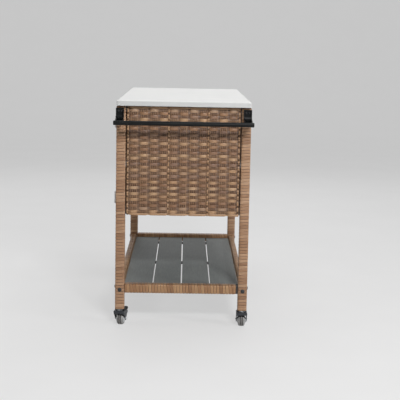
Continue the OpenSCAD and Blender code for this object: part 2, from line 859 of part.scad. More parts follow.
// Pedal with a hub on the fork's pin, a cam that nears the tread and a ribbed foot plate
module brake(c) {
  lobe_angle = 180 + pivot_angle + brake_travel;
  reach = pivot_reach - wheel_r - slip_gap - 0.1;
  lobe_r = 1.8;
  web_w = 2.6;
  plate_t = 3;
  wing_r = 8;
  color("#23252a") at_caster(c) translate([0, pivot_y, pivot_z]) difference() {
    union() {
      along_x(2 * pedal_half) {
        circle(pedal_hub_r);
        rotate(lobe_angle) translate([reach - lobe_r, 0]) circle(lobe_r);
        rotate(lobe_angle) translate([0, -web_w / 2]) square([reach - lobe_r, web_w]);
      }
      rotate([pedal_tilt, 0, 0]) translate([0, 0, 1]) {
        linear_extrude(plate_t) foot_outline(wing_r);
        for (y = [pedal_l / 2 : 4 : pedal_l - 6]) translate([-pedal_half + 4, y, plate_t - 1])
          cube([2 * pedal_half - 8, 1.6, 1.8]);
      }
    }
    rotate([0, 90, 0]) cylinder(2 * pedal_half + 2 * cut, pivot_r + run_gap, pivot_r + run_gap, center = true);
  }
}

module foot_outline(r) {
  translate([-pedal_half + 0.5, 0]) square([2 * pedal_half - 1, pedal_l - r]);
  translate([-pedal_half + 0.5 + r, 0]) square([2 * (pedal_half - 0.5 - r), pedal_l]);
  for (x = [-1, 1]) translate([x * (pedal_half - 0.5 - r), pedal_l - r]) circle(r);
}

tabletop();
post(corners[0]);  // post_front_left
post(corners[1]);  // post_front_right
post(corners[2]);  // post_back_left
post(corners[3]);  // post_back_right
post_tubes();
caster_inserts();
top_rails_end();
top_rails_side();
cabinet_rails_end();
cabinet_rails_side();
lower_rail_end(-1);  // lower_rail_front
lower_rail_end(1);  // lower_rail_back
lower_rail_side(-1);  // lower_rail_left
lower_rail_side(1);  // lower_rail_right
lower_rail_tubes();
rail_end_plugs();
frame_bolts();
woven_end_front();
woven_end_back();
woven_side_right();
cabinet_floor();
cabinet_shelf();
shelf_brackets();
deck_supports();
deck_slats_of(0);  // deck_slat_1
deck_slats_of(1);  // deck_slat_2
deck_slats_of(2);  // deck_slat_3
deck_slats_of(3);  // deck_slat_4
handle_bracket(-1);  // handle_bracket_left
handle_bracket(1);  // handle_bracket_right
handle_bar();
handle_screws();
door_catch();
hinge_posts();
door_frame(false);  // door_front_frame
door_weave(false);  // door_front_weave
door_pull(false);  // door_front_pull
door_hinges(false);  // door_front_hinges
door_frame(true);  // door_back_frame
door_weave(true);  // door_back_weave
door_pull(true);  // door_back_pull
door_hinges(true);  // door_back_hinges
caster_stems();
fork(corners[0], true);  // fork_front_left
fork(corners[1], false);  // fork_front_right
fork(corners[2], false);  // fork_back_left
fork(corners[3], true);  // fork_back_right
wheel(corners[0]);  // wheel_front_left
wheel(corners[1]);  // wheel_front_right
wheel(corners[2]);  // wheel_back_left
wheel(corners[3]);  // wheel_back_right
axle(corners[0]);  // axle_front_left
axle(corners[1]);  // axle_front_right
axle(corners[2]);  // axle_back_left
axle(corners[3]);  // axle_back_right
brake(corners[0]);  // brake_front_left
brake(corners[3]);  // brake_back_right
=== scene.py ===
# Rolling bar cart: wicker frame and cabinet, pale top, slatted deck, handle bar and casters
import json
import math
import bmesh
import bpy
from mathutils import Matrix, Vector


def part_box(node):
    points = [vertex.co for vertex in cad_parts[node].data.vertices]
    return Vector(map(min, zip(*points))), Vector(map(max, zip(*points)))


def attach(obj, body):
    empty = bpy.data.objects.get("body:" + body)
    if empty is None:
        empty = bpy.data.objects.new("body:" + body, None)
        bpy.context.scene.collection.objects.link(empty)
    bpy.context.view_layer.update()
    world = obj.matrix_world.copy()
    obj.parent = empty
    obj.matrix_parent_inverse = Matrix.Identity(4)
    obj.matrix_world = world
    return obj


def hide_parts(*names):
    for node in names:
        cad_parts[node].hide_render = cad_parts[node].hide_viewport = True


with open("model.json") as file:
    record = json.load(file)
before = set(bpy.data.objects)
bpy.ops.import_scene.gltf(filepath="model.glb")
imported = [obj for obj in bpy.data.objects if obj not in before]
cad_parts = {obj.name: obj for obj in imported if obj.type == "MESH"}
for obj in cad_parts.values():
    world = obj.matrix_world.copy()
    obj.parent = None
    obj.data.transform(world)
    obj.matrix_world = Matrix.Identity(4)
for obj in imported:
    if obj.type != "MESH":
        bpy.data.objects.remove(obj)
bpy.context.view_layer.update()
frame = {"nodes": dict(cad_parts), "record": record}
nodes, record = frame["nodes"], frame["record"]
joints = {joint["name"]: joint for joint in record["behaviour"]["joints"]}
bodyOf = {node: body for body, names in record["behaviour"]["bodies"].items() for node in names}
slotOf = {row["node"]: row["material_slot"] for row in record["subparts"]}
corners = ("front_left", "front_right", "back_left", "back_right")
print("cart: frame loaded with", len(nodes), "nodes")


class Wire:  # an output socket; an expression on it adds its Math nodes
    def __init__(self, tree, socket):
        self.tree, self.socket = tree, socket

    def __getitem__(self, name):  # another output of the same node
        return Wire(self.tree, self.socket.node.outputs[name])

    def math(self, operation, *others):
        return self.tree.put("ShaderNodeMath", {"operation": operation}, [self, *others])

    def __add__(self, other): return self.math("ADD", other)
    def __radd__(self, other): return self.math("ADD", other)
    def __sub__(self, other): return self.math("SUBTRACT", other)
    def __rsub__(self, other): return self.tree.put("ShaderNodeMath", {"operation": "SUBTRACT"}, [other, self])
    def __mul__(self, other): return self.math("MULTIPLY", other)
    def __rmul__(self, other): return self.math("MULTIPLY", other)
    def __truediv__(self, other): return self.math("DIVIDE", other)
    def __mod__(self, other): return self.math("FLOORED_MODULO", other)
    def __abs__(self): return self.math("ABSOLUTE")
    def sin(self): return self.math("SINE")
    def cos(self): return self.math("COSINE")
    def floor(self): return self.math("FLOOR")
    def least(self, other): return self.math("MINIMUM", other)
    def most(self, other): return self.math("MAXIMUM", other)

    def ramp(self, start, end, low=0.0, high=1.0):  # a smooth step from low at start to high at end
        return self.tree.put("ShaderNodeMapRange", {"interpolation_type": "SMOOTHSTEP"},
                             [self, start, end, low, high])


class Tree:  # puts nodes into a shader, world or Geometry Nodes tree
    def __init__(self, nodeTree):
        self.nodeTree = nodeTree

    def put(self, kind, settings=None, inputs=None):
        node = self.nodeTree.nodes.new(kind)
        for name, value in (settings or {}).items():
            if name == "stops":
                self.fillRamp(node.color_ramp, value)
            else:
                setattr(node, name, value)
        pairs = inputs.items() if isinstance(inputs, dict) else enumerate(inputs or [])
        for key, value in pairs:
            socket = node.inputs[key]
            if isinstance(value, Wire):
                self.nodeTree.links.new(value.socket, socket)
            else:
                socket.default_value = (*value, 1.0) if socket.type == "RGBA" and len(value) == 3 else value
        shown = [socket for socket in node.outputs if socket.enabled]
        return Wire(self, shown[0]) if shown else node

    def fillRamp(self, ramp, stops):
        while len(ramp.elements) < len(stops):
            ramp.elements.new(0.5)
        for element, (place, colour) in zip(ramp.elements, stops):
            element.position = place
            element.color = (*colour, 1.0)

    def point(self, x, y, z):
        return self.put("ShaderNodeCombineXYZ", {}, [x, y, z])

    def axes(self, vector):
        parts = self.put("ShaderNodeSeparateXYZ", {}, [vector])
        return parts["X"], parts["Y"], parts["Z"]


class Recipe(Tree):  # a Geometry Nodes tree with named inputs
    kinds = {int: "NodeSocketInt", float: "NodeSocketFloat", bpy.types.Material: "NodeSocketMaterial"}

    def __init__(self, name, **inputs):
        group = bpy.data.node_groups.new(name, "GeometryNodeTree")
        group.is_modifier = True
        super().__init__(group)
        add = group.interface.new_socket
        for way in ("INPUT", "OUTPUT"):
            add("Geometry", in_out=way, socket_type="NodeSocketGeometry")
        self.keys = {}
        for label, kind in inputs.items():
            self.keys[label] = add(label, in_out="INPUT", socket_type=self.kinds[kind]).identifier
        self.start = group.nodes.new("NodeGroupInput")

    def sizes(self):  # every named input as a wire
        return {label: Wire(self, self.start.outputs[label]) for label in self.keys}

    def read(self, name):
        return self.put("GeometryNodeInputNamedAttribute", {"data_type": "FLOAT"}, {"Name": name})

    def note(self, geometry, name, value):
        return self.put("GeometryNodeStoreNamedAttribute", {"data_type": "FLOAT", "domain": "POINT"},
                        {"Geometry": geometry, "Name": name, "Value": value})

    def place(self):
        return self.axes(self.put("GeometryNodeInputPosition"))

    def index(self):
        return self.put("GeometryNodeInputIndex")

    def move(self, geometry, position):
        return self.put("GeometryNodeSetPosition", {}, {"Geometry": geometry, "Position": position})

    def chance(self, span, key, seed):
        return self.put("FunctionNodeRandomValue", {"data_type": "FLOAT"},
                        {2: span[0], 3: span[1], "ID": key, "Seed": seed})

    def ribbon(self, sides, width, thickness, square=0.35, furrow=0.0):  # a flat oval section
        def full(v):
            return v * (1.0 + square - v * v * square)

        ring = self.put("GeometryNodeCurvePrimitiveCircle", {"mode": "RADIUS"}, {"Resolution": sides, "Radius": 1.0})
        x, y = self.place()[:2]
        ring = self.note(ring, "across", y)
        deep = 1.0 - (1.0 - abs((y * math.pi).sin())) * furrow  # a furrow along the middle
        return self.move(ring, self.point(full(x) * deep * thickness * 0.5, full(y) * width * 0.5, 0.0))

    def sweep(self, curve, section, scale=1.0):
        curve = self.put("GeometryNodeSetCurveNormal", {"mode": "Z_UP"}, {"Curve": curve})
        return self.put("GeometryNodeCurveToMesh", {},
                        {"Curve": curve, "Profile Curve": section, "Scale": scale, "Fill Caps": True})

    def lines(self, count, reach, points, spotOf):  # one straight curve for each number, started at its own spot
        line = self.put("GeometryNodeCurvePrimitiveLine", {}, {"Start": (0, 0, 0), "End": reach})
        line = self.put("GeometryNodeResampleCurve", {"mode": "COUNT"}, {"Curve": line, "Count": points})
        row = self.put("GeometryNodeMeshLine", {"mode": "OFFSET"}, {"Count": count, "Offset": (0.0, 0.0, 0.001)})
        row = self.note(row, "number", self.index())
        row = self.move(row, spotOf(self.index()))
        many = self.put("GeometryNodeInstanceOnPoints", {}, {"Points": row, "Instance": line})
        return self.put("GeometryNodeRealizeInstances", {}, {"Geometry": many})

    def close(self, parts, material):
        joined = self.put("GeometryNodeJoinGeometry")
        for part in parts:
            self.nodeTree.links.new(part.socket, joined.socket.node.inputs[0])
        done = self.put("GeometryNodeRealizeInstances", {}, {"Geometry": joined})
        done = self.put("GeometryNodeSetShadeSmooth", {}, {"Geometry": done})
        done = self.put("GeometryNodeSetMaterial", {}, {"Geometry": done, "Material": material})
        self.put("NodeGroupOutput", {}, [done])


def show(name, data):  # a new object in the scene
    thing = bpy.data.objects.new(name, data)
    bpy.context.scene.collection.objects.link(thing)
    return thing


def grow(name, recipe, values, matrix):  # evaluates a recipe and keeps its mesh, set in place
    seed = show(name + "Seed", bpy.data.meshes.new(name + "Seed"))
    modifier = seed.modifiers.new("recipe", "NODES")
    modifier.node_group = recipe.nodeTree
    for label, value in values.items():
        modifier[recipe.keys[label]] = value
    depsgraph = bpy.context.evaluated_depsgraph_get()
    mesh = bpy.data.meshes.new_from_object(seed.evaluated_get(depsgraph), preserve_all_data_layers=True,
                                           depsgraph=depsgraph)
    mesh.name = name
    mesh.transform(matrix)
    bpy.data.objects.remove(seed)
    return show(name, mesh)


def standIn(piece, node):  # the piece takes the place of a CAD node and moves with it
    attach(piece, bodyOf[node])
    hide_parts(node)
    return piece


def smoothFaces(mesh):
    mesh.polygons.foreach_set("use_smooth", [True] * len(mesh.polygons))


def meshFrom(bm, name):
    mesh = bpy.data.meshes.new(name)
    bm.to_mesh(mesh)
    bm.free()
    return mesh


def linear(*rgb):  # display values from 0 to 255 to the linear values that sockets take
    return tuple((v / 255 / 12.92) if v <= 10 else ((v / 255 + 0.055) / 1.055) ** 2.4 for v in rgb)


camera = {  # metres from the front posts' outer faces, degrees, and the roll in radians
    "place": (0.00834, -3.55, 1.1320), "yaw": 0.92, "pitch": 6.9, "roll": -0.0190,
    "lens": 81.9, "film": 36.0, "shift": -0.1139, "far": 60,
}


def setCamera():
    yaw, pitch, roll = math.radians(camera["yaw"]), math.radians(camera["pitch"]), camera["roll"]
    forward = Vector((math.sin(yaw) * math.cos(pitch), math.cos(yaw) * math.cos(pitch), -math.sin(pitch)))
    right = Vector((math.cos(yaw), -math.sin(yaw), 0))
    down = forward.cross(right)
    across = right * math.cos(roll) + down * math.sin(roll)
    below = down * math.cos(roll) - right * math.sin(roll)
    data = bpy.data.cameras.new("photoCamera")
    data.lens, data.sensor_width, data.sensor_fit = camera["lens"], camera["film"], "HORIZONTAL"
    data.shift_y = camera["shift"]
    data.clip_end = camera["far"]
    thing = show("photoCamera", data)
    thing.matrix_world = Matrix((across, -below, -forward)).transposed().to_4x4()
    thing.matrix_world.translation = Vector(camera["place"]) + Vector((0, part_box("post_front_left")[0][1], 0))
    bpy.context.scene.camera = thing


setCamera()
print("cart: camera set")


class Finish(Tree):  # one material and its shader
    def __init__(self, name, shine=0.5, **fixed):
        self.material = bpy.data.materials.new(name)
        self.material.use_nodes = True
        super().__init__(self.material.node_tree)
        self.shader = self.nodeTree.nodes["Principled BSDF"]
        self.shader.inputs["Specular IOR Level"].default_value = shine
        for label, value in fixed.items():
            self.shader.inputs[label].default_value = value

    def object(self):
        return self.put("ShaderNodeTexCoord")["Object"]

    def spot(self, scale=(1, 1, 1)):  # a point on the object, in metres, stretched
        return self.put("ShaderNodeMapping", {}, {"Vector": self.object(), "Scale": scale})

    def read(self, name):
        return self.put("ShaderNodeAttribute", {"attribute_name": name})["Fac"]

    def noise(self, where, scale, detail=2.0, rough=0.5):
        inputs = {"Vector": where, "Scale": scale, "Detail": detail, "Roughness": rough}
        return self.put("ShaderNodeTexNoise", {}, inputs)["Fac"]

    def mix(self, amount, a, b):
        return self.put("ShaderNodeMix", {"data_type": "RGBA"}, {0: amount, 6: a, 7: b})

    def tones(self, value, *stops):
        return self.put("ShaderNodeValToRGB", {"stops": stops}, [value])

    def bump(self, height, distance, strength):
        return self.put("ShaderNodeBump", {}, {"Height": height, "Distance": distance, "Strength": strength})

    def drive(self, colour, roughness, normal):
        for label, wire in (("Base Color", colour), ("Roughness", roughness), ("Normal", normal)):
            self.nodeTree.links.new(wire.socket, self.shader.inputs[label])
        return self.material


wicker = {  # strand colours from dark to pale: two families for the weave, one each for posts and rails
    "warm": ((0.1, linear(100, 70, 50)), (0.36, linear(143, 105, 75)),
             (0.62, linear(176, 138, 102)), (0.9, linear(208, 176, 141))),
    "cool": ((0.1, linear(94, 69, 55)), (0.36, linear(136, 104, 83)),
             (0.62, linear(172, 140, 113)), (0.9, linear(208, 182, 155))),
    "post": ((0.12, linear(126, 91, 65)), (0.42, linear(168, 127, 94)),
             (0.7, linear(190, 151, 118)), (0.95, linear(214, 181, 150))),
    "rail": ((0.12, linear(121, 86, 56)), (0.42, linear(162, 119, 81)),
             (0.7, linear(184, 143, 102)), (0.95, linear(210, 175, 136))),
    # the colour of the painted shade at strand edges, along furrows and in dips, and how strong the painted shade in
    # dips is
    "rim": linear(74, 52, 40), "dipShade": 0.55, "shine": 0.6,
    "streakStretch": (9.0, 1.6, 37.0), "fineStretch": (30.0, 7.0, 91.0),  # along, across and from strand to strand
    "toneShare": 0.62, "streakShare": 0.34, "fineShare": 0.16, "darker": 0.08,
    "rough": 0.27, "roughSpread": 0.25, "ridges": 15.0, "ridgeDepth": 0.00025,
}


def wickerFinish(name, warm, cool, edgeShadeShare, furrowShadeShare=0.0):
    m = Finish(name, wicker["shine"])
    along, across, tone, lift = m.read("along"), m.read("across"), m.read("tone"), m.read("float")

    def strandSpot(stretch):
        return m.point(along * stretch[0], across * stretch[1], tone * stretch[2])

    streak = m.noise(strandSpot(wicker["streakStretch"]), 6.0, 3.0, 0.55)
    fine = m.noise(strandSpot(wicker["fineStretch"]), 5.0)
    shade = tone * wicker["toneShare"] + streak * wicker["streakShare"] + fine * wicker["fineShare"]
    shade = shade - wicker["darker"]
    colour = m.mix(m.read("hue").ramp(0.3, 0.7), m.tones(shade, *warm), m.tones(shade, *cool))
    # painted shade: darker along each strand's edges and down its middle furrow, where strands meet and fold
    furrow = abs(across).ramp(0.3, 0.0) * furrowShadeShare
    dip = lift.ramp(0.0, -0.9) * wicker["dipShade"]  # painted shade where a strand runs under
    rim = (abs(across).ramp(0.62, 1.0) * edgeShadeShare + furrow + dip).least(1.0)
    colour = m.mix(rim, colour, wicker["rim"])
    ridges = (across * wicker["ridges"]).sin() * 0.5 + fine
    roughness = streak * wicker["roughSpread"] + wicker["rough"]
    return m.drive(colour, roughness, m.bump(ridges, wicker["ridgeDepth"], 0.5))


# the last two numbers set how strong the painted shade is at strand edges and along the furrow
wrapFinish = wickerFinish("wickerWrap", wicker["post"], wicker["rail"], 0.8, 0.4)
weaveFinish = wickerFinish("wickerWeave", wicker["warm"], wicker["cool"], 0.45)

tabletop = {
    "tones": ((0.3, linear(232, 233, 232)), (0.55, linear(241, 241, 239)), (0.8, linear(246, 246, 244))),
    "cut": linear(207, 208, 207), "cutShare": 0.9, "cutFrom": 0.0004, "cutTo": 0.0022,  # painted shade: the side faces and underside greyer than the top face
    "lines": (2.0, 34.0, 20.0), "lineDepth": 0.0002, "rough": 0.36, "roughSpread": 0.2,
}


def topFinish():
    m = Finish("paleTop", 0.4)
    lines = m.noise(m.spot(tabletop["lines"]), 3.0, 4.0, 0.6)
    cloud = m.noise(m.spot(), 5.0)
    colour = m.tones(lines * 0.7 + cloud * 0.3, *tabletop["tones"])
    height = m.axes(m.object())[2]
    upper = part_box("tabletop")[1][2]
    # painted shade: everything more than about 2 mm below the top face turns greyer
    rim = height.ramp(upper - tabletop["cutFrom"], upper - tabletop["cutTo"])
    colour = m.mix(rim * tabletop["cutShare"], colour, tabletop["cut"])
    roughness = lines * tabletop["roughSpread"] + tabletop["rough"]
    return m.drive(colour, roughness, m.bump(lines, tabletop["lineDepth"], 0.35))


slat = {  # grey slats with grain along them and faint saw marks across
    "tones": ((0.3, linear(120, 124, 123)), (0.5, linear(139, 143, 142)), (0.75, linear(160, 164, 162))),
    "grain": (34.0, 3.0, 30.0), "saw": (3.0, 60.0, 8.0), "grainDepth": 0.0003, "rough": 0.45, "roughSpread": 0.25,
}


def slatFinish():
    m = Finish("greySlat", 0.4)
    grain = m.noise(m.spot(slat["grain"]), 6.0, 4.0, 0.6)
    saw = m.noise(m.spot(slat["saw"]), 7.0)
    cloud = m.noise(m.spot(), 4.0)
    colour = m.tones(grain * 0.5 + saw * 0.2 + cloud * 0.3, *slat["tones"])
    roughness = grain * slat["roughSpread"] + slat["rough"]
    return m.drive(colour, roughness, m.bump(grain + saw * 0.5, slat["grainDepth"], 0.4))


innerBoard = {  # the cabinet's floor and shelf
    "tones": ((0.3, linear(84, 84, 82)), (0.7, linear(112, 112, 108))),
    "grain": (30.0, 2.0, 30.0), "grainDepth": 0.0002, "rough": 0.5, "roughSpread": 0.2,
}


def boardFinish():
    m = Finish("cabinetBoard", 0.35)
    grain = m.noise(m.spot(innerBoard["grain"]), 6.0, 4.0, 0.6)
    colour = m.tones(grain, *innerBoard["tones"])
    roughness = grain * innerBoard["roughSpread"] + innerBoard["rough"]
    return m.drive(colour, roughness, m.bump(grain, innerBoard["grainDepth"], 0.4))


coat = {"paler": 1.9, "haze": 0.004, "roughSpread": 0.22, "speck": 0.00012}  # painted metal and moulded plastic


def coatFinish(name, tone, rough, shine=0.5):
    m = Finish(name, shine)
    fine = m.noise(m.spot(), 900.0)
    broad = m.noise(m.spot(), 16.0, 4.0, 0.6)
    light = tuple(min(1.0, v * coat["paler"] + coat["haze"]) for v in tone)
    colour = m.tones(broad, (0.35, tone), (0.75, light))
    return m.drive(colour, broad * coat["roughSpread"] + rough, m.bump(fine, coat["speck"], 0.5))


metal = {  # bare steel with fine hair lines and duller stains
    "brushed": (1, 1, 30), "stained": 0.62, "hairSpread": 0.18, "stainSpread": 0.12, "hairDepth": 0.00006,
}


def metalFinish(name, tone, rough, metallic):
    m = Finish(name, Metallic=metallic)
    hair = m.noise(m.spot(metal["brushed"]), 160.0, 3.0)
    stain = m.noise(m.spot(), 60.0, 4.0, 0.65)
    dull = tuple(v * metal["stained"] for v in tone)
    colour = m.mix(stain.ramp(0.45, 0.8), tone, dull)
    roughness = hair * metal["hairSpread"] + stain * metal["stainSpread"] + rough
    return m.drive(colour, roughness, m.bump(hair, metal["hairDepth"], 0.4))


wheel = {  # two tones for each zone, and where the zones change, in metres
    "tread": (linear(104, 102, 101), linear(132, 129, 127)),
    # the dark band each side of the tread is painted shade in the grooves
    "groove": (linear(40, 40, 40), linear(60, 60, 59)),
    "shoulder": (linear(140, 140, 139), linear(172, 171, 169)),
    "disc": (linear(176, 178, 180), linear(208, 209, 210)),
    "grooveAt": (0.0042, 0.0046), "shoulderAt": (0.0066, 0.0072), "discAt": (0.0168, 0.0162),
    "rough": 0.5, "roughSpread": 0.25, "dustDepth": 0.0002,
}


def rubberFinish():
    m = Finish("wheelRubber", 0.35)
    reach, offside = m.read("reach"), m.read("offside")  # distances from the axle and from the wheel's middle
    dust = m.noise(m.spot(), 70.0, 4.0, 0.65)
    fine = m.noise(m.spot(), 420.0)
    tread, groove, shoulder, disc = (m.tones(dust, (0.3, wheel[zone][0]), (0.7, wheel[zone][1]))
                                     for zone in ("tread", "groove", "shoulder", "disc"))
    # painted shade: a dark band in the grooves each side of the tread
    colour = m.mix(offside.ramp(*wheel["grooveAt"]), tread, groove)
    colour = m.mix(offside.ramp(*wheel["shoulderAt"]), colour, shoulder)
    colour = m.mix(reach.ramp(*wheel["discAt"]), colour, disc)
    return m.drive(colour, dust * wheel["roughSpread"] + wheel["rough"], m.bump(fine + dust, wheel["dustDepth"], 0.5))


finishes = {  # one for each material slot of the record
    "tabletop": topFinish(),
    "deck_slats": slatFinish(),
    "cabinet_board": boardFinish(),
    "frame_steel": coatFinish("frameSteel", linear(52, 47, 44), 0.42),
    "door_frame": coatFinish("doorFrame", linear(40, 36, 33), 0.42),
    "black_plastic": coatFinish("blackPlastic", linear(26, 26, 27), 0.5),
    "handle_metal": coatFinish("handleMetal", linear(8, 10, 11), 0.34, 0.2),
    "dark_screws": coatFinish("darkScrews", linear(36, 36, 37), 0.35),
    "catch_plastic": coatFinish("catchPlastic", linear(200, 200, 194), 0.4),
    "pedal_plastic": coatFinish("pedalPlastic", linear(38, 40, 44), 0.42),
    "bright_steel": metalFinish("brightSteel", linear(236, 238, 240), 0.25, 0.15),
    "fork_steel": metalFinish("forkSteel", linear(66, 68, 72), 0.3, 0.6),
    "wheel_rubber": rubberFinish(),
    "wicker_wrap": wrapFinish,
    "wicker_weave": weaveFinish,
}
print("cart: materials made")


wound = {  # one flat strand wound round each post and lower rail
    "pitch": 0.0125, "strand": 0.0124, "thick": 0.0040, "pointsPerTurn": 16, "seed": 5, "railSeed": 10,
    "cornerStretch": 1.36, "cornerEase": 0.15,  # how square the turns are, and how points gather at their corners
    "sink": 0.0006, "sides": 16, "square": 0.12, "furrow": 0.3, "tones": (0.22, 0.9),
}


def woundRecipe():
    r = Recipe("woundStrand", Length=float, HalfX=float, HalfY=float, Turns=int, Strand=float, Thick=float, Hue=float,
               Seed=int, Finish=bpy.types.Material)
    size = r.sizes()
    length, halfX, halfY, turns = size["Length"], size["HalfX"], size["HalfY"], size["Turns"]
    thick, strand = size["Thick"], size["Strand"]
    perTurn, stretch = wound["pointsPerTurn"], wound["cornerStretch"]
    coil = r.put("GeometryNodeCurveSpiral", {}, {
        "Resolution": perTurn, "Rotations": turns + 1.0, "Start Radius": 1.0, "End Radius": 1.0,
        "Height": 1.0, "Reverse": False})
    count = r.index()
    turn = count / float(perTurn)
    angle = count * (2 * math.pi / perTurn)
    angle = angle + (angle * 4.0).sin() * wound["cornerEase"]
    climb = (turn - 0.5) / turns * length
    z = climb.most(strand * 0.5).least(length - strand * 0.5)  # the first and last turns lie flat
    sink = abs(climb - z) / length * turns * wound["sink"]  # and a little under their neighbours
    inX, inY = halfX - thick * 0.5 - sink, halfY - thick * 0.5 - sink
    x = (angle.cos() * stretch * inX).least(inX).most(inX * -1.0)
    y = (angle.sin() * stretch * inY).least(inY).most(inY * -1.0)
    coil = r.note(coil, "tone", r.chance(wound["tones"], turn.floor(), size["Seed"]))
    coil = r.note(coil, "along", turn * (halfX + halfY) * 4.0)
    coil = r.note(coil, "hue", size["Hue"])
    coil = r.move(coil, r.point(x, y, z))
    section = r.ribbon(wound["sides"], strand, thick, wound["square"], wound["furrow"])
    r.close([r.sweep(coil, section)], size["Finish"])
    return r


woundTree = woundRecipe()
lyingAlong = {  # how the upright coil is turned, and the box axes of its width, its depth and its length
    "x": (Matrix.Rotation(math.pi / 2, 4, "Y"), 2, 1, 0),
    "y": (Matrix.Rotation(math.pi / 2, 4, "X"), 0, 2, 1),
    "z": (Matrix.Identity(4), 0, 1, 2),
}


def woundPiece(node, way, seed):
    lo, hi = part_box(node)
    turned, wide, deep, long = lyingAlong[way]
    span = [high - low for low, high in zip(lo, hi)]
    start = [(low + high) / 2 for low, high in zip(lo, hi)]
    start[long] = hi[long] if way == "y" else lo[long]
    values = {
        "Length": span[long], "HalfX": span[wide] / 2, "HalfY": span[deep] / 2,
        "Turns": round(span[long] / wound["pitch"]), "Strand": wound["strand"], "Thick": wound["thick"],
        "Hue": 0.0 if way == "z" else 1.0, "Seed": seed, "Finish": wrapFinish,
    }
    standIn(grow(node + "_wound", woundTree, values, Matrix.Translation(start) @ turned), node)


for number, corner in enumerate(corners):
    woundPiece("post_" + corner, "z", wound["seed"] + number)
for number, (side, way) in enumerate((("front", "x"), ("back", "x"), ("left", "y"), ("right", "y"))):
    woundPiece("lower_rail_" + side, way, wound["seed"] + wound["railSeed"] + number)
print("cart: posts and lower rails wound")


weave = {  # the woven skins of the cabinet
    "row": 0.0119, "border": 0.0095, "stake": 0.0389, "edge": 0.008,  # spacing of rows and stakes, and the margins
    "strand": 0.0136, "thick": 0.0017, "swing": 0.0026, "crest": 0.1, "narrow": 0.07, "points": 10,
    "tuck": 0.004, "tuckOut": 0.006, "tuckBack": 0.0012,  # how the rows' ends turn back round the edge
    "cords": 4, "cord": 0.0034, "cordStep": 0.0076, "cordFlat": 0.7, "cordInset": 0.0015,
    "bindEvery": 4, "bind": 0.0078, "bindSwing": 0.75, "bindProud": 0.0006, "bindNarrow": 0.2, "bindInset": 0.001,
    "bindPoints": 4, "hemWidth": 0.98, "hemThick": 1.1, "hemSwing": 1.9, "hemRest": 0.9,
    "notch": 2.6, "notchWidth": 0.65,  # how short and how narrow the hems' notches are
    "fieldTones": (0.12, 0.86), "cordTones": (0.35, 0.75), "bindTones": (0.55, 0.8), "hemTones": (0.6, 0.85),
    # the front panel's seed was picked for its row tones: pale and dark rows where the strands are pale and dark, and
    # dark rows just under the handle bar as a painted shadow of the bar
    "seed": 214, "seedStep": 7,
}


def passed(size, x):  # how many stakes lie before this place
    return ((x - size["Edge"]) / size["Stake"]).most(0.0).least(size["Stakes"])


def fieldRows(r, size, middle, pitch, points):  # over one stake, under the next, each row a stake out of step
    width, swing, seed = size["Width"], size["Swing"], size["Seed"]

    def spotOf(n):
        return r.point(0.0, middle, size["Border"] + pitch * (n + 0.5))

    field = r.lines(size["Rows"], r.point(width, 0.0, 0.0), points, spotOf)
    number = r.read("number")
    field = r.note(field, "tone", r.chance(weave["fieldTones"], number, seed))
    field = r.note(field, "hue", r.chance((0.0, 1.0), number, seed + 1.0))
    x, y, z = r.place()
    wave = ((passed(size, x) + number) * math.pi).sin()
    wave = wave.ramp(weave["crest"], 1.0, -1.0, 1.0)  # rounded crests over the stakes, level dips under them
    fromMiddle = x - width * 0.5
    ends = (abs(fromMiddle) - width * 0.5 + weave["tuck"]).most(0.0) * (1.0 / weave["tuck"])
    field = r.note(field, "along", x)
    field = r.note(field, "float", wave)
    outward, back = fromMiddle * ends * weave["tuckOut"], ends * weave["tuckBack"]
    field = r.move(field, r.point(x + outward, y - wave * swing + back, z))
    narrow = 1.0 - (1.0 - abs(r.read("float"))) * weave["narrow"]
    return r.sweep(field, r.ribbon(8, size["Strand"], size["Thick"], 0.25), narrow)


def stakeCords(r, size, middle):  # a few thin upright cords for each stake
    perStake = float(weave["cords"])

    def spotOf(n):
        k = (n / perStake).floor()
        side = (n % perStake) - (perStake - 1.0) / 2
        return r.point(size["Edge"] + (k + 0.5) * size["Stake"] + side * size["CordStep"], middle, weave["cordInset"])

    upright = r.point(0.0, 0.0, size["Height"] - 2 * weave["cordInset"])
    cords = r.lines(size["Stakes"] * perStake, upright, 2, spotOf)
    cords = r.note(cords, "tone", r.chance(weave["cordTones"], r.read("number"), size["Seed"] + 3.0))
    cords = r.note(cords, "along", r.place()[2])
    return r.sweep(cords, r.ribbon(6, size["Cord"], size["Cord"] * weave["cordFlat"]))


def bindingTies(r, size, middle, pitch):  # flat upright strands, over one row and under the next
    width, edge, binds = size["Width"], size["Edge"], size["Binds"]

    def spotOf(n):  # the inner ones first, then one at each edge of the panel
        inside = edge + (n + 1.0) * size["Stake"] * float(weave["bindEvery"])
        isInner = (binds - n).most(0.0).least(1.0)
        isLeft = (1.0 - abs(n - binds)).most(0.0)
        isRight = 1.0 - isInner - isLeft
        across = isInner * inside + isLeft * edge * 0.5 + isRight * (width - edge * 0.5)
        return r.point(across, middle, weave["bindInset"])

    upright = r.point(0.0, 0.0, size["Height"] - 2 * weave["bindInset"])
    ties = r.lines(binds + 2.0, upright, size["Rows"] * float(weave["bindPoints"]) + 1.0, spotOf)
    ties = r.note(ties, "tone", r.chance(weave["bindTones"], r.read("number"), size["Seed"] + 5.0))
    x, y, z = r.place()
    ties = r.note(ties, "along", z)
    lift = (((z - size["Border"]) / pitch + r.read("number")) * math.pi).sin()
    lift = lift * (1.5 - lift * lift * 0.5)  # flatter crests
    ties = r.note(ties, "float", lift)
    ties = r.move(ties, r.point(x, y - lift * (size["Swing"] * weave["bindSwing"]) - weave["bindProud"], z))
    section = r.ribbon(8, size["Bind"], size["Thick"])
    section = r.put("GeometryNodeTransform", {}, {"Geometry": section, "Rotation": (0.0, 0.0, math.pi / 2)})
    return r.sweep(ties, section, 1.0 - (1.0 - abs(r.read("float"))) * weave["bindNarrow"])


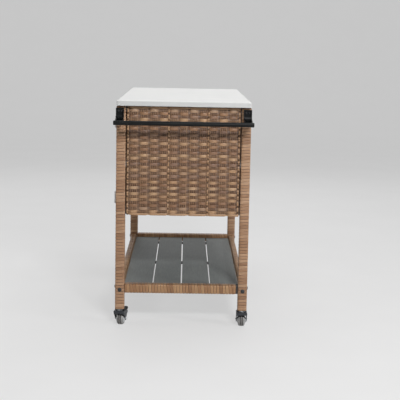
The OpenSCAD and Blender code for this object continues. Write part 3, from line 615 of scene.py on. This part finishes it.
def hemStrands(r, size, middle, points):  # along the upper and lower edge, over two stakes with a notch between
    height, border = size["Height"], size["Border"]

    def spotOf(n):
        return r.point(0.0, middle, border * 0.5 + n * (height - border))

    hems = r.lines(2, r.point(size["Width"], 0.0, 0.0), points, spotOf)
    hems = r.note(hems, "tone", r.chance(weave["hemTones"], r.read("number"), size["Seed"] + 9.0))
    x, y, z = r.place()
    hems = r.note(hems, "along", x)
    full = (abs((passed(size, x) * (math.pi / 2)).sin()) * weave["notch"]).least(1.0)
    hems = r.note(hems, "float", full)
    hems = r.move(hems, r.point(x, y - size["Swing"] * (full * weave["hemSwing"] - weave["hemRest"]), z))
    section = r.ribbon(8, border * weave["hemWidth"], size["Thick"] * weave["hemThick"])
    return r.sweep(hems, section, r.read("float") * (1.0 - weave["notchWidth"]) + weave["notchWidth"])


def weaveRecipe():
    r = Recipe("wovenSkin", Width=float, Height=float, Depth=float, Rows=int, Border=float, Stakes=int, Stake=float,
               Binds=int, Bind=float, Edge=float, Swing=float, Strand=float, Thick=float, Cord=float, CordStep=float,
               Seed=int, Finish=bpy.types.Material)
    size = r.sizes()
    middle = size["Depth"] * -0.5
    pitch = (size["Height"] - size["Border"] * 2.0) / size["Rows"]
    points = size["Stakes"] * float(weave["points"]) + 1.0
    r.close([
        fieldRows(r, size, middle, pitch, points),
        stakeCords(r, size, middle),
        bindingTies(r, size, middle, pitch),
        hemStrands(r, size, middle, points),
    ], size["Finish"])
    return r


weaveTree = weaveRecipe()


def wovenPiece(node, facing, seed):  # facing: the direction in which the raised strands look
    lo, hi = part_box(node)
    span = [high - low for low, high in zip(lo, hi)]
    width, depth = (span[0], span[1]) if "y" in facing else (span[1], span[0])
    turn, x, y = {
        "-y": (0.0, lo[0], hi[1]), "+y": (math.pi, hi[0], lo[1]),
        "+x": (math.pi / 2, lo[0], lo[1]), "-x": (-math.pi / 2, hi[0], hi[1]),
    }[facing]
    inner = width - 2 * weave["edge"]
    stakes = round(inner / weave["stake"])
    values = {
        "Width": width, "Height": span[2], "Depth": depth, "Border": weave["border"],
        "Rows": round((span[2] - 2 * weave["border"]) / weave["row"]), "Stakes": stakes, "Stake": inner / stakes,
        "Binds": (stakes - 1) // weave["bindEvery"], "Bind": weave["bind"], "Edge": weave["edge"],
        "Swing": weave["swing"], "Strand": weave["strand"], "Thick": weave["thick"], "Cord": weave["cord"],
        "CordStep": weave["cordStep"], "Seed": seed, "Finish": weaveFinish,
    }
    matrix = Matrix.Translation((x, y, lo[2])) @ Matrix.Rotation(turn, 4, "Z")
    return standIn(grow(node + "_woven", weaveTree, values, matrix), node)


panels = {
    "woven_end_front": "-y", "woven_end_back": "+y", "woven_side_right": "+x",
    "door_front_weave": "-x", "door_back_weave": "-x",
}
for number, (node, facing) in enumerate(panels.items()):
    made = wovenPiece(node, facing, weave["seed"] + weave["seedStep"] * number)
    print("cart:", made.name, "has", len(made.data.polygons), "faces")


easing = {  # angles in degrees, lengths in metres
    "merge": 1e-6, "flatAngle": 0.5, "sharpAngle": 32, "bevelAngle": 40, "segments": 2,
    "width": {  # bevel width for each slot of metal, plastic and inner board
        "handle_metal": 0.0007, "fork_steel": 0.0004, "bright_steel": 0.0003, "dark_screws": 0.0003,
        "pedal_plastic": 0.0005, "black_plastic": 0.0005, "frame_steel": 0.0008, "door_frame": 0.0008,
        "catch_plastic": 0.0005, "cabinet_board": 0.0008, "wheel_rubber": 0.0,
    },
}


def noteWheel(bm, node):  # each point's distance from the axle and from the wheel's middle
    axis = Vector(joints[node.replace("wheel_", "roll_")]["axis"])
    lo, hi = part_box(node)
    centre = (Vector(lo) + Vector(hi)) / 2
    reach, offside = bm.verts.layers.float.new("reach"), bm.verts.layers.float.new("offside")
    for vert in bm.verts:
        away = vert.co - centre
        vert[offside] = abs(away.dot(axis))
        vert[reach] = (away - axis * away.dot(axis)).length


def easedCopy(node, slot):
    mesh = nodes[node].data.copy()
    mesh.name = node + "_eased"
    bm = bmesh.new()
    bm.from_mesh(mesh)
    bmesh.ops.remove_doubles(bm, verts=bm.verts, dist=easing["merge"])
    bmesh.ops.dissolve_limit(bm, angle_limit=math.radians(easing["flatAngle"]), verts=bm.verts, edges=bm.edges)
    if slot == "wheel_rubber":
        noteWheel(bm, node)
    bm.to_mesh(mesh)
    bm.free()
    smoothFaces(mesh)
    mesh.set_sharp_from_angle(angle=math.radians(easing["sharpAngle"]))
    piece = show(mesh.name, mesh)
    if easing["width"][slot]:
        bevel = piece.modifiers.new("ease", "BEVEL")
        bevel.width, bevel.segments, bevel.limit_method = easing["width"][slot], easing["segments"], "ANGLE"
        bevel.angle_limit = math.radians(easing["bevelAngle"])
        bevel.use_clamp_overlap = True
        bevel.harden_normals = True
    mesh.materials.clear()
    mesh.materials.append(finishes[slot])
    standIn(piece, node)


for node in list(nodes):
    if slotOf[node] in easing["width"]:
        easedCopy(node, slotOf[node])
print("cart: eased copies made")


web = {  # metres from the swivel's axis and from the floor
    "half": 0.0205, "plate": 0.0016, "nose": 0.0149, "low": 0.049, "high": 0.0629, "arch": 0.003, "steps": 12,
}


def forkWeb(corner):  # a thin plate with an arched lower edge across the nose of a fork
    pivot = Vector(joints["swivel_" + corner]["pos_m"]).to_2d()
    lo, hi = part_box("wheel_" + corner)
    ahead = (pivot - (Vector(lo) + Vector(hi)).to_2d() / 2).normalized()  # from the wheel towards the nose
    side = Vector((-ahead.y, ahead.x))
    steps = [2.0 * i / web["steps"] - 1.0 for i in range(web["steps"] + 1)]
    bm = bmesh.new()

    def edge(back, heights):
        spots = [pivot + side * t * web["half"] + ahead * (web["nose"] - back) for t in steps]
        return [bm.verts.new((*spot, height)) for spot, height in zip(spots, heights)]

    arched = [web["low"] + web["arch"] * (1.0 - t * t) for t in steps]
    level = [web["high"]] * len(steps)
    ring = [edge(0.0, arched), edge(0.0, level), edge(web["plate"], level), edge(web["plate"], arched)]
    for i in range(web["steps"]):
        for a, b in zip(ring, ring[1:] + ring[:1]):
            bm.faces.new((a[i], a[i + 1], b[i + 1], b[i]))
    for i in (0, -1):
        bm.faces.new([line[i] for line in ring])
    bmesh.ops.recalc_face_normals(bm, faces=bm.faces)
    mesh = meshFrom(bm, "fork_" + corner + "_web")
    mesh.materials.append(finishes["fork_steel"])
    piece = show(mesh.name, mesh)
    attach(piece, bodyOf["fork_" + corner])


for corner in corners:
    forkWeb(corner)
print("cart: fork webs made")

for node, thing in nodes.items():  # every CAD node keeps a finished material, shown or not
    for holder in thing.material_slots:
        holder.material = finishes[slotOf[node]]


studio = {
    "front": -14.0, "depth": 9.0, "rise": 9.0, "turn": 3.0, "wide": 16.0, "steps": 24,  # the floor and backdrop sweep
    "tones": ((0.3, (0.80, 0.80, 0.80)), (0.7, (0.84, 0.84, 0.84))), "floorGlow": 0.6, "floorTone": 0.86,
    "world": 0.07, "sky": 0.62,  # the world as it lights the cart and as the camera sees it
    "lamps": {  # place, aim, size and watts
        "keyLamp": ((0.8, -3.4, 2.22), (0, -0.45, 0.6), (0.8, 0.35), 67.0),
        "sideLamp": ((4.4, -2.5, 1.72), (0, -0.4, 0.5), (0.7, 0.3), 62.0),
        "backLamp": ((0, 3.4, 2.0), (0, 0.3, 0.2), (3.6, 0.6), 17.0),
        "rimLamp": ((-3.0, -0.8, 1.2), (0, -0.2, 0.5), (0.9, 1.8), 16.0),
        "topLamp": ((0.2, 0.6, 3.4), (0, 0, 0.5), (2.4, 2.4), 40.0),
    },
}


def setSweep():
    depth, turn, steps = studio["depth"], studio["turn"], studio["steps"]
    outline = [(studio["front"], 0.0)]
    for i in range(steps + 1):
        angle = math.pi / 2 * i / steps
        outline.append((depth - turn + turn * math.sin(angle), turn - turn * math.cos(angle)))
    outline.append((depth, studio["rise"]))
    bm = bmesh.new()
    rows = [[bm.verts.new((side * studio["wide"], y, z)) for y, z in outline] for side in (-1, 1)]
    for i in range(len(outline) - 1):
        bm.faces.new((rows[0][i], rows[1][i], rows[1][i + 1], rows[0][i + 1]))
    bm.normal_update()
    mesh = meshFrom(bm, "studioSweep")
    smoothFaces(mesh)
    mesh.materials.append(floorFinish())
    show("studioSweep", mesh)


def floorFinish():
    m = Finish("studioFloor", 0.1, Roughness=0.9)
    colour = m.tones(m.noise(m.spot(), 3.0), *studio["tones"])
    m.nodeTree.links.new(colour.socket, m.shader.inputs["Base Color"])
    ray = m.put("ShaderNodeLightPath")  # the camera and glossy faces see the sweep paler than it lights the cart
    seen = ray["Is Camera Ray"].most(ray["Is Glossy Ray"])
    glow = m.put("ShaderNodeEmission", {}, {"Color": (studio["floorTone"],) * 3})
    both = m.put("ShaderNodeMixShader", {}, [seen * studio["floorGlow"], Wire(m, m.shader.outputs[0]), glow])
    m.nodeTree.links.new(both.socket, m.nodeTree.nodes["Material Output"].inputs["Surface"])
    return m.material


def setLamps():
    for name, (place, aim, size, watts) in studio["lamps"].items():
        data = bpy.data.lights.new(name, "AREA")
        data.shape, data.size, data.size_y, data.energy = "RECTANGLE", size[0], size[1], watts
        lamp = show(name, data)
        lamp.location = place
        lamp.rotation_euler = (Vector(aim) - Vector(place)).to_track_quat("-Z", "Y").to_euler()


def setWorld():
    world = bpy.data.worlds.new("studioWorld")
    world.use_nodes = True
    bpy.context.scene.world = world
    sky, background = Tree(world.node_tree), world.node_tree.nodes["Background"]
    seen = sky.put("ShaderNodeLightPath")["Is Camera Ray"]
    strength = seen * (studio["sky"] - studio["world"]) + studio["world"]
    background.inputs["Color"].default_value = (1, 1, 1, 1)
    world.node_tree.links.new(strength.socket, background.inputs["Strength"])


setSweep()
setLamps()
setWorld()
bpy.context.scene.view_settings.view_transform = "Standard"
print("cart: studio set")
